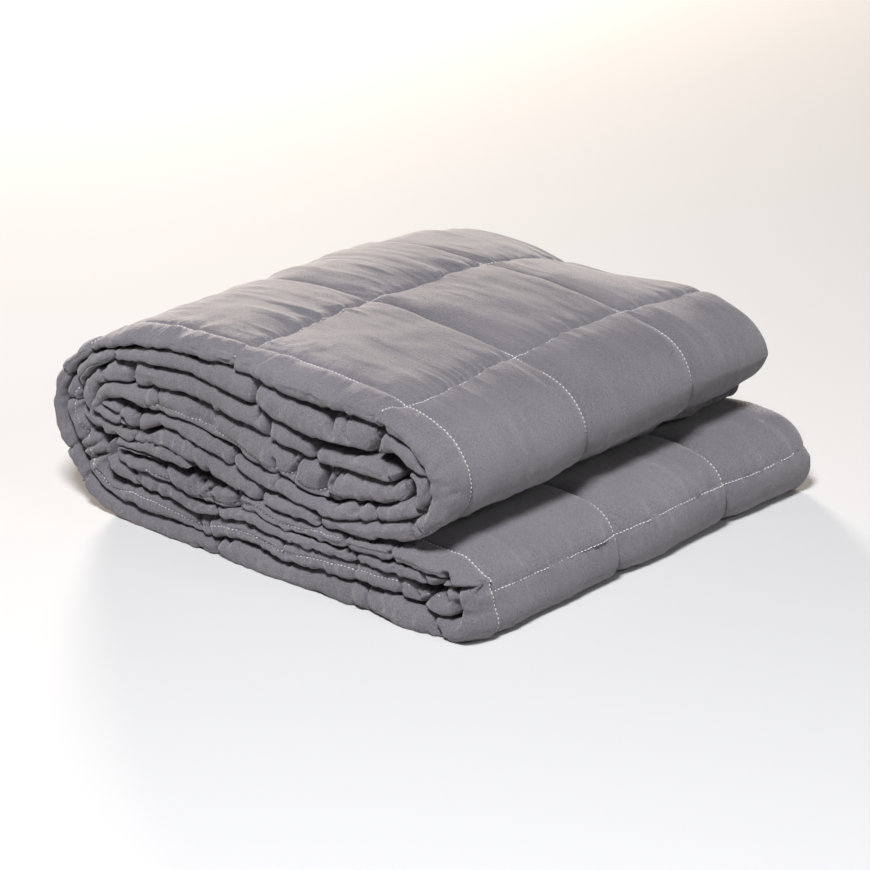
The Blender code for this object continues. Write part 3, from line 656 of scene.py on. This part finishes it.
def crumple(name, arc, q):
    """Soft unevenness of the filling, and small ripples beside the gaps of the band fronts."""
    seed = 300 if name == "out" else 340
    front = faded(np.abs(q), NOSE_ARC, RIPPLE_FADE)
    edge = limited(np.abs(q) / NOSE_ARC) ** 1.5
    side = np.where(q < 0, 3.5, 0.5)  # each side of a layer has its own row of the noise

    def bumps(number, spacing):
        return waves(seed + number, arc / spacing, side)

    lean = 0.8 * bumps(7, 18)
    wide, narrow = RIPPLES
    ripple = bumps(2, wide) + 0.5 * bumps(6, narrow)
    ripple_patches = 0.55 + 0.45 * bumps(3, 22)
    wide, narrow = WRINKLES
    wrinkle = waves(seed + 4, arc / wide + lean * q / 6, q / 9)
    wrinkle = wrinkle + 0.5 * waves(seed + 8, arc / narrow, q / 6)
    wrinkle_patches = 0.5 + 0.5 * waves(seed + 5, arc / 25, q / 12)
    tuck_patches = limited(0.45 + bumps(10, 30))
    tuck = nearness(waves(seed + 9, arc / TUCK_SPACING + lean * q / 9, side), TUCK_WIDTH)
    ridges = edge * ripple * ripple_patches + WRINKLE_HEIGHT * wrinkle * wrinkle_patches
    tucks = TUCK_DEPTH * (0.25 + 0.75 * edge) * (tuck * tuck_patches)
    return summed_waves(seed, FILLING_WAVES, arc, q) + front * (ridges - tucks)


def fronts(name, arc, q, offset_q, stitched):
    """Creases across a band front and the groove of its hem stitches."""
    total = np.zeros(np.broadcast(arc, q).shape)
    fade = faded(np.abs(q), NOSE_ARC, CREASE_FADE)
    fade = fade * (1 - CREASE_RIM * limited(np.abs(q) / NOSE_ARC) ** 2)
    for number, (place, depth, width, lean) in enumerate(LAYERS[name]["creases"]):
        bend = CREASE_BEND * waves(410 + number, q / CREASE_BEND_SPACING)
        apart = arc - place - lean * q / (2 * NOSE_ARC) - bend
        pinch = nearness(apart, CREASE_SHARPNESS * width)
        pinch = pinch + CREASE_SPREAD * nearness(apart, CREASE_SPREAD_REACH)
        total -= CREASE_DEEPER * depth * pinch * fade
    gather = HEM_GATHER * waves(401, arc / HEM_GATHER_SPACING)
    gather = gather * nearness(q - offset_q, HEM_GATHER_REACH)
    return total - stitched * (valley(q - offset_q, *HEM_VALLEY) + gather)


def surface(name, k, q):
    """Points of the cloth (x, y, z) for the stations k and the ways q over the cloth."""
    k, q = np.broadcast_arrays(np.asarray(k, float), np.asarray(q, float))
    arc = along(name, "arc", k)
    centre, normal = along(name, "centre", k), along(name, "normal", k)
    side = np.where(q < 0, -1, 1)
    room = np.where(q < 0, along(name, -1, k), along(name, 1, k))
    way = np.abs(q)
    roll = BORDER_ROLL * outermost(name, k) * (q > 0)
    angle = limited(way / (NOSE_ARC + roll)) * pi / 2
    thick = along(name, 1, k) + along(name, -1, k)
    depth = NOSE_DEPTH * np.clip(thick / NOSE_FULL, *NOSE_SHARES) + roll
    square = fullness(normal[..., 1] * side)
    y = front_line(name, arc) + depth * (1 - np.cos(angle) ** square)
    y = y + np.maximum(way - NOSE_ARC - roll, 0)
    draw = quilting(name, arc, y) * eased(limited(way / NOSE_ARC))
    draw = draw * (FOOT_FLAT + (1 - FOOT_FLAT) * eased(limited(centre[..., 1] / FOOT_FLAT_HEIGHT)))
    detail = crumple(name, arc, q)
    seam_q = seam_way(name, k, along(name, "stitch", k))
    detail += fronts(name, arc, q, seam_q, along(name, "stitched", k))
    outer_face = (q > 0) & (name == "out")
    detail += np.where(outer_face, puckers(name, arc, y), 0)
    detail += np.where(outer_face, CROWN_UNEVEN * waves(7, arc / 55, y / 45), 0)
    stand = room * np.sin(angle) ** square
    out_of = np.maximum(stand - draw, np.minimum(stand, SEAM_STAND))
    squarer = 2 - square
    across = np.sin(angle) ** squarer * depth
    forward = np.cos(angle) ** squarer * np.maximum(room, LEAST_WIDTH)
    size = np.maximum(np.hypot(across, forward), TINY)
    ends = np.minimum(arc, LAYERS[name]["arc"][-1] - arc)
    off = (out_of + detail * across / size) * np.sqrt(limited(ends / END_ROUND))
    x = centre[..., 0] + normal[..., 0] * side * off
    z = centre[..., 1] + normal[..., 1] * side * off
    y = y - detail * forward / size
    return settled(pleated(sagged(rumpled(np.stack([x, y, z], -1)))))


def fullness(upward):
    """The power that shapes a front end: the cloth sags, so the side that faces down is fuller."""
    low, high = NOSE_SQUARE
    return low + (high - low) * (0.5 + 0.5 * np.clip(upward, -1, 1))


def pleated(points):
    """Draws the free front ends in along the pleats."""
    x, y, z = np.moveaxis(points, -1, 0)
    narrow, wide = np.zeros(x.shape), np.zeros(x.shape)
    for pleat in named(PLEAT_COLUMNS, PLEATS):
        run = np.array([pleat["to_x"] - pleat["x"], pleat["to_z"] - pleat["z"]])
        across_x, across_z = x - pleat["x"], z - pleat["z"]
        share = limited((across_x * run[0] + across_z * run[1]) / max(run @ run, TINY))
        apart = np.hypot(across_x - share * run[0], across_z - share * run[1]) / pleat["half_width"]
        narrow = np.maximum(narrow, pleat["depth"] * np.exp(-(apart**2)))
        wide = np.maximum(wide, PLEAT_SOFT * pleat["depth"] * nearness(apart, PLEAT_SPREAD))
    reach = faded(y, PLEAT_START, PLEAT_REACH)
    return np.stack([x, y + (narrow + wide) * reach, z], -1)


def outermost(name, k):
    """How far the outer layer's front end is rounded back: 1 on the roll, 0 where it is folded in."""
    if name != "out":
        return np.zeros(np.shape(k))
    return np.interp(k, [MARKS[row] for row in ROUNDING], list(ROUNDING.values()))


def seam_way(name, k, offset):
    """The way over the cloth at which a front end stands this far off its layer's centre."""
    share = limited(np.abs(offset) / np.maximum(along(name, 1, k), LEAST_WIDTH), 0.95)
    arc = NOSE_ARC + BORDER_ROLL * outermost(name, k) * (offset > 0)
    square = fullness(along(name, "normal", k)[..., 1] * np.sign(offset))
    return np.sign(offset) * arc * 2 / pi * np.arcsin(share ** (1 / square))


def front_line(name, arc):
    """How far back the tip of a front end lies: seams draw it in, and it wanders a little."""
    seed = 500 if name == "out" else 520
    pinch = np.max([nearness(arc - seam, CROSS_PULL_REACH) for seam in seam_arcs(name)], axis=0)
    return CROSS_PULL * pinch + FRONT_SET + summed_waves(seed, FRONT_WAVES, arc)


def rumpled(points):
    """Moves all the layers' front ends together, a little up, down and sideways."""
    x, y, z = np.moveaxis(points, -1, 0).copy()
    share = faded(y, RUMPLE_START, RUMPLE_REACH)
    share = share * eased(limited(z / RUMPLE_FOOT))
    for number, (spacing, size) in enumerate(RUMPLES):
        across, up = x / spacing, z / (RUMPLE_FLATTER * spacing)
        points[..., 0] += share * size * waves(700 + number, across, up)
        points[..., 2] += share * 0.8 * size * waves(710 + number, across, up)
    return points


def sagged(points):
    """The bundle is full at the front, and slumps and tapers towards the back."""
    x, y, z = np.moveaxis(points, -1, 0)
    table = np.array(SAG, float)
    columns = range(1, len(SAG_COLUMNS))
    left, middle, right, inset, foot = (np.interp(y, table[:, 0], table[:, k]) for k in columns)
    left_x, middle_x, right_x = SAG_SHOULDERS
    drop = left + (middle - left) * eased(limited((x - left_x) / (middle_x - left_x)))
    drop += (right - middle) * eased(limited((x - middle_x) / (right_x - middle_x)))
    height = limited((z - ROLL_FOOT) / (ROLL_TOP - ROLL_FOOT), SAG_PAST)
    under = 1 + INSET_UNDER * limited((INSET_TIP - z) / (INSET_TIP - ROLL_FOOT))
    in_roll = eased(limited((z - ROLL_FOOT) / INSET_BASE))
    drawn_in = inset * under * in_roll * limited((x - INSET_START) / INSET_SPAN, SAG_PAST)
    low = limited(1 - z / FOOT_HEIGHT)
    drawn_in += foot * low * limited((x - FOOT_START) / FOOT_SPAN)
    return np.stack([x - drawn_in, y, z - drop * height], -1)


def settled(points):
    """The weight presses the underside flat on the surface."""
    z = points[..., 2]
    pressed = z - SETTLE * np.maximum(1 - z / SETTLE_REACH, 0)
    points[..., 2] = np.maximum(pressed, 0)
    return points


# ---- meshes ----


def placed(points):
    """Points of the tables' frame in the row's frame."""
    return (np.asarray(points, float) - TABLE_ORIGIN) * MM


def in_scene(name, data):
    made = bpy.data.objects.new(name, data)
    bpy.context.scene.collection.objects.link(made)
    return made


def mesh_object(name, points, faces, material, flat=None):
    mesh = bpy.data.meshes.new(name)
    points = placed(points).reshape(-1, 3)
    count, corners = faces.shape
    mesh.vertices.add(len(points))
    mesh.vertices.foreach_set("co", points.astype(np.float32).ravel())
    mesh.loops.add(faces.size)
    mesh.loops.foreach_set("vertex_index", faces.astype(np.int32).ravel())
    mesh.polygons.add(count)
    mesh.polygons.foreach_set("loop_start", (np.arange(count) * corners).astype(np.int32))
    mesh.polygons.foreach_set("loop_total", np.full(count, corners, np.int32))
    if flat is not None:
        layout = mesh.uv_layers.new(name="cloth")
        layout.data.foreach_set("uv", flat[faces.ravel()].astype(np.float32).ravel())
    mesh.update(calc_edges=True)
    mesh.validate()
    mesh.shade_smooth()
    mesh.materials.append(material)
    return in_scene(name, mesh)


def grid_faces(count, width):
    """Four-cornered faces of a grid of points, count rows by width columns."""
    k, c = np.meshgrid(np.arange(count - 1), np.arange(width - 1), indexing="ij")
    a = (k * width + c).ravel()
    return np.stack([a, a + 1, a + width + 1, a + width], 1)


def steps(start, end, step):
    count = max(1, int(np.ceil(abs(end - start) / step - TINY)))
    return np.linspace(start, end, count + 1)


def joined(*runs):
    """Runs of numbers that share their ends, as one run."""
    return np.concatenate([runs[0]] + [run[1:] for run in runs[1:]])


def fold_grid(stations):
    """The folds at the back: half ellipses from the outer layer's face to the inner one's."""
    start = surface("out", stations, np.full(len(stations), DEEP_WAY))
    end = surface("in", stations, np.full(len(stations), -DEEP_WAY))
    angles = np.linspace(0, pi, FOLD_POINTS)
    middle, half = (start + end) / 2, (start - end) / 2
    width = np.linalg.norm(half, axis=1)
    room = STRIP_WIDTH - np.maximum(start[:, 1], end[:, 1])
    depth = np.clip(width * FOLD_ROUND, BACK_FOLD[0], room)
    grid = middle[:, None, :] + half[:, None, :] * np.cos(angles)[None, :, None]
    grid[..., 1] += depth[:, None] * np.sin(angles)[None, :]
    arc = LAYERS["out"]["arc"][np.clip(stations.astype(int), 0, STATIONS - 1)]
    uneven = FOLD_UNEVEN * waves(601, arc[:, None] / 18, angles[None, :] * 2)
    grid[..., 1] += uneven * np.sin(angles)[None, :]
    grid[..., 2] = np.maximum(grid[..., 2], 0)
    return grid


def cloth_piece(name, layer, grid, stations, ways, material):
    """A grid of points as cloth, with its place on the flat blanket, in decimetres, as its layout."""
    u, v = np.meshgrid(along(layer, "arc", stations), ways, indexing="ij")
    flat = np.stack([u, v], -1).reshape(-1, 2) / 100
    return mesh_object(name, grid, grid_faces(*grid.shape[:2]), material, flat)


def face_piece(name, layer, stations, ways, material):
    grid = surface(layer, stations[:, None], ways[None, :])
    return cloth_piece(name, layer, grid, stations, ways, material)


def face_steps(step):
    """Ways over a face, from the first long line to the back, finer at the long lines between."""
    runs, start = [], BORDER_WAY
    for seam in LINE_SEAMS[1:]:
        way = NOSE_ARC + seam - NOSE_DEPTH
        if way + LINE_FINE < DEEP_WAY:
            near, far = way - LINE_FINE, way + LINE_FINE
            runs += [steps(start, near, step), steps(near, far, LINE_STEP)]
            start = far
    return joined(*runs, steps(start, DEEP_WAY, step))


def front_stations(name):
    """Stations of the front ends, closer together where a crease crosses them."""
    arc = LAYERS[name]["arc"]
    places = steps(0, arc[-1], FRONT_STEP)
    for place, _, _, lean in LAYERS[name]["creases"]:
        reach = CREASE_FINE + abs(lean) / 2
        close = steps(max(place - reach, 0), min(place + reach, arc[-1]), CREASE_STEP)
        places = np.concatenate([places[np.abs(places - place) > reach + CREASE_STEP], close])
    ends = [0, arc[-1]]
    return np.interp(np.unique(np.concatenate([places, ends])), arc, np.arange(STATIONS))


def blanket_pieces(material):
    """The blanket's cloth: long faces, front ends and back folds, meeting in its seams."""
    every = np.arange(STATIONS, dtype=float)
    face_ways = face_steps(FACE_STEP)
    lower_ways = face_steps(LOWER_COARSER * FACE_STEP)
    deep_ways = steps(FRONT_REACH, DEEP_WAY, DEEP_STEP)
    front_side = steps(NOSE_ARC, FRONT_REACH, FRONT_SIDE_STEP)
    nose = steps(0, NOSE_ARC, NOSE_STEP)
    hidden_side_and_nose = joined(-front_side[::-1], -nose[::-1], nose)
    out_front = joined(hidden_side_and_nose, steps(NOSE_ARC, BORDER_WAY, BORDER_STEP))
    in_front = joined(hidden_side_and_nose, front_side)
    upper = np.arange(MARKS["second lift"], MARKS["side seam"] + 1, dtype=float)
    lower = np.arange(MARKS["side seam"], MARKS["last flat"] + 1, dtype=float)
    middle = int(upper[-1] + upper[0]) // 2
    folds = np.linspace(0, FOLD_WIDTH, FOLD_POINTS)
    hidden_start, hidden_end, sparse = (
        steps(first, last, HIDDEN_STEP)
        for first, last in ((0, upper[0]), (lower[-1], STATIONS - 1), (0, STATIONS - 1))
    )
    hidden_ways = joined(steps(BORDER_WAY, FRONT_REACH, HIDDEN_FRONT_STEP), deep_ways)
    shown = (
        ("upper_roll_right_cloth", "out", upper[upper <= middle], face_ways),
        ("upper_roll_left_cloth", "out", upper[upper >= middle], face_ways),
        ("lower_roll_cloth", "out", lower, lower_ways),
        ("outer_layer_fronts", "out", front_stations("out"), out_front),
        ("inner_layer_fronts", "in", front_stations("in"), in_front),
    )
    hidden = (
        ("hidden_outer_face_0", "out", hidden_start, hidden_ways),
        ("hidden_outer_face_1", "out", hidden_end, hidden_ways),
        ("inner_layer_face", "in", sparse, -deep_ways[::-1]),
    )
    pieces = [face_piece(*values, material) for values in shown]
    pieces.append(cloth_piece("back_folds", "out", fold_grid(every), every, folds, material))
    return pieces + [face_piece(*values, material) for values in hidden]


# ---- stitches ----


def tubes(starts, ends, normals):
    """One stitch of thread from each start to its end, raised in the middle along the normal."""
    ways, lift, thick = np.array(STITCH_FORM).T
    run = unit(ends - starts)
    across = unit(np.cross(run, normals))
    up = np.cross(across, run)
    angles = np.arange(STITCH_SIDES) * 2 * pi / STITCH_SIDES
    centre = starts[:, None, :] + (ends - starts)[:, None, :] * ways[None, :, None]
    centre = centre + up[:, None, :] * lift[None, :, None]
    ring = across[:, None, :] * np.cos(angles)[None, :, None]
    ring = ring + up[:, None, :] * np.sin(angles)[None, :, None]
    points = centre[:, :, None, :] + ring[:, None, :, :] * (thick * THREAD_RADIUS)[None, :, None, None]
    count, levels = len(starts), len(ways)
    a = np.arange((levels - 1) * STITCH_SIDES)
    b = a + np.where((a + 1) % STITCH_SIDES, 1, 1 - STITCH_SIDES)  # the next corner round the ring
    faces = np.stack([a, b, b + STITCH_SIDES, a + STITCH_SIDES], 1)
    base = np.arange(count)[:, None, None] * (levels * STITCH_SIDES)
    return points.reshape(-1, 3), (faces + base).reshape(-1, 4)


def stitch_run(name, ks, qs):
    """Starts, ends and normals of the stitches along a way over the cloth."""
    path = surface(name, ks, qs)
    ahead = surface(name, ks + 0.3, qs) - surface(name, ks - 0.3, qs)
    beside = surface(name, ks, qs + 0.4) - surface(name, ks, qs - 0.4)
    normals = unit(np.cross(beside, ahead))
    length = arc_lengths(path)
    places = np.arange(STITCH_START, length[-1] - STITCH_PITCH, STITCH_PITCH)

    def at(where, values):
        return np.stack([np.interp(where, length, v) for v in values.T], 1)

    middles = at(places + STITCH_LENGTH / 2, normals)
    return at(places, path), at(places + STITCH_LENGTH, path), middles


def way_of_depth(name, ks, y):
    """The way over the cloth at which the outer face reaches depth y."""
    return NOSE_ARC + np.asarray(y) - NOSE_DEPTH - front_line(name, along(name, "arc", ks))


def line_stitches():
    ks = np.arange(MARKS["second lift"], MARKS["last flat"], STITCH_TRACE)
    depths = [line_place(seam, along("out", "arc", ks)) for seam in LINE_SEAMS]
    return [stitch_run("out", ks, way_of_depth("out", ks, y)) for y in depths]


def cross_stitches():
    runs = []
    arc = LAYERS["out"]["arc"]
    for row, *_ in CROSS_SEAMS:
        ys = np.arange(STITCHED_FROM.get(row, CROSS_STITCH_START), CROSS_STITCH_END, 1)
        arcs = arc[MARKS[row]] + seam_drift("out", row, ys)
        ks = np.interp(arcs, arc, np.arange(STATIONS))
        runs.append(stitch_run("out", ks, way_of_depth("out", ks, ys)))
    return runs


def hem_stitches():
    runs = []
    for name, layer in LAYERS.items():
        for ks in (np.arange(*stretch, STITCH_TRACE) for stretch in layer["shown"]):
            runs.append(stitch_run(name, ks, seam_way(name, ks, along(name, "stitch", ks))))
    return runs


def stitch_piece(name, runs, material):
    starts, ends, normals = (np.concatenate([run[k] for run in runs]) for k in range(3))
    points, faces = tubes(starts, ends, normals)
    points[:, 2] = np.maximum(points[:, 2], 0)
    return mesh_object(name, points, faces, material)


# ---- materials ----


def set_values(node, **settings):
    """Sets the node's inputs of these names, with _ for a space, or else its own properties."""
    for key, value in settings.items():
        slot = key.replace("_", " ")
        if slot in node.inputs:
            node.inputs[slot].default_value = value
        else:
            setattr(node, key, value)


def add_node(tree, kind, sources=(), **settings):
    """A new node, fed by the outputs that sources names for its inputs."""
    made = tree.nodes.new(kind)
    for slot, source in dict(sources).items():
        tree.links.new(source, made.inputs[slot])
    set_values(made, **settings)
    return made


def color_ramp(tree, share, colors):
    ramp = add_node(tree, "ShaderNodeValToRGB", {"Fac": share})
    for element, color in zip(ramp.color_ramp.elements, colors):
        element.color = (*color, 1)
    return ramp.outputs["Color"]


def new_material(name):
    material = bpy.data.materials.new(name)
    material.use_nodes = True
    tree = material.node_tree
    return material, tree, tree.nodes["Principled BSDF"]


def cotton():
    """Grey quilted cotton: plain weave, faint slubs and uneven dye, a soft bloom of short fibres."""
    material, tree, shader = new_material("quilted_cotton")
    place = add_node(tree, "ShaderNodeTexCoord")

    def noise(vector, scale, detail):
        made = add_node(tree, "ShaderNodeTexNoise", {"Vector": vector}, Scale=scale, Detail=detail)
        return made.outputs["Fac"]

    def yarns(scale):
        """Uneven yarns: noise drawn out along one way of the cloth."""
        drawn = add_node(tree, "ShaderNodeMapping", {"Vector": place.outputs["UV"]}, Scale=scale)
        return noise(drawn.outputs["Vector"], 1.0, 2.0)

    def added(first, second):
        return add_node(tree, "ShaderNodeMath", {0: first, 1: second}, operation="ADD").outputs[0]

    dye = noise(place.outputs["Object"], 11.0, 4.0)
    grain = noise(place.outputs["Object"], 900.0, 2.0)
    rough = added(added(yarns(WARP_SCALE), yarns(WEFT_SCALE)), grain)
    tone = added(rough, dye)
    share = add_node(tree, "ShaderNodeMapRange", {"Value": tone}, From_Min=1.3, From_Max=2.7)
    color = color_ramp(tree, share.outputs["Result"], CLOTH_COLORS)
    bump = add_node(tree, "ShaderNodeBump", {"Height": rough}, Strength=0.8, Distance=0.0006)
    tree.links.new(color, shader.inputs["Base Color"])
    tree.links.new(bump.outputs["Normal"], shader.inputs["Normal"])
    set_values(shader, Roughness=0.82, Specular_IOR_Level=0.3)
    set_values(shader, Sheen_Weight=0.35, Sheen_Roughness=0.45, Sheen_Tint=(1.0, 0.97, 0.95, 1))
    return material


def thread():
    material, tree, shader = new_material("sewing_thread")
    twist = add_node(tree, "ShaderNodeTexNoise", Scale=900.0)
    color = color_ramp(tree, twist.outputs["Fac"], THREAD_COLORS)
    tree.links.new(color, shader.inputs["Base Color"])
    set_values(shader, Roughness=0.6)
    return material


def pale_floor():
    material, _, shader = new_material("pale_floor")
    set_values(shader, Base_Color=(*FLOOR_COLOR, 1), Roughness=0.9)
    return material


# ---- scene ----


def add_floor():
    signs = ((-1, -1), (1, -1), (1, 1), (-1, 1))
    mesh = bpy.data.meshes.new("floor")
    mesh.from_pydata([(a * FLOOR_HALF, b * FLOOR_HALF, FLOOR_Z) for a, b in signs], [], [(0, 1, 2, 3)])
    mesh.materials.append(pale_floor())
    in_scene("floor", mesh)


def direction(azimuth, elevation):
    """Unit vector from the object towards a camera or light at this azimuth and elevation."""
    a, e = radians(azimuth), radians(elevation)
    return Vector((sin(a) * cos(e), -cos(a) * cos(e), sin(e)))


def aim(thing, place, target):
    thing.location = place
    thing.rotation_euler = (place - target).to_track_quat("Z", "Y").to_euler()


def add_camera():
    data = bpy.data.cameras.new("camera")
    data.sensor_width = SENSOR_MM
    data.lens = SENSOR_MM * CAMERA_FOCAL_PIXELS / IMAGE_PIXELS
    camera = in_scene("camera", data)
    target = Vector(placed(CAMERA_TARGET))
    aim(camera, target + direction(CAMERA_AZIMUTH, CAMERA_ELEVATION) * CAMERA_DISTANCE, target)
    bpy.context.scene.camera = camera


def add_lights():
    for light in named(LIGHT_COLUMNS, LIGHTS):
        data = bpy.data.lights.new(light["name"], "AREA")
        data.size, data.energy, data.color = light["size"], light["power"], light["color"]
        place = direction(light["azimuth"], light["elevation"]) * light["distance"]
        aim(in_scene(light["name"], data), place, Vector(LIGHT_TARGET))


def add_studio():
    """An even pale studio, a little brighter overhead."""
    world = bpy.data.worlds.new("studio")
    world.use_nodes = True
    tree = world.node_tree
    place = add_node(tree, "ShaderNodeTexCoord")
    split = add_node(tree, "ShaderNodeSeparateXYZ", {"Vector": place.outputs["Generated"]})
    height = {"Value": split.outputs["Z"]}
    sky = add_node(tree, "ShaderNodeMapRange", height, To_Min=SKY_LOW, To_Max=SKY_HIGH)
    background = tree.nodes["Background"]
    tree.links.new(sky.outputs["Result"], background.inputs["Strength"])
    set_values(background, Color=(*SKY_COLOR, 1))
    bpy.context.scene.world = world
    bpy.context.scene.view_settings.view_transform = "Standard"


def main():
    material = cotton()
    pieces = blanket_pieces(material)
    sewing = thread()
    runs = {
        "line_stitches": line_stitches(),
        "cross_stitches": cross_stitches(),
        "hem_stitches": hem_stitches(),
    }
    stitches = [stitch_piece(name, found, sewing) for name, found in runs.items()]
    for piece in pieces + stitches:
        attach(piece, "root")
    for piece in pieces:
        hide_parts("quilted_blanket")
    add_floor()
    add_camera()
    add_lights()
    add_studio()


main()
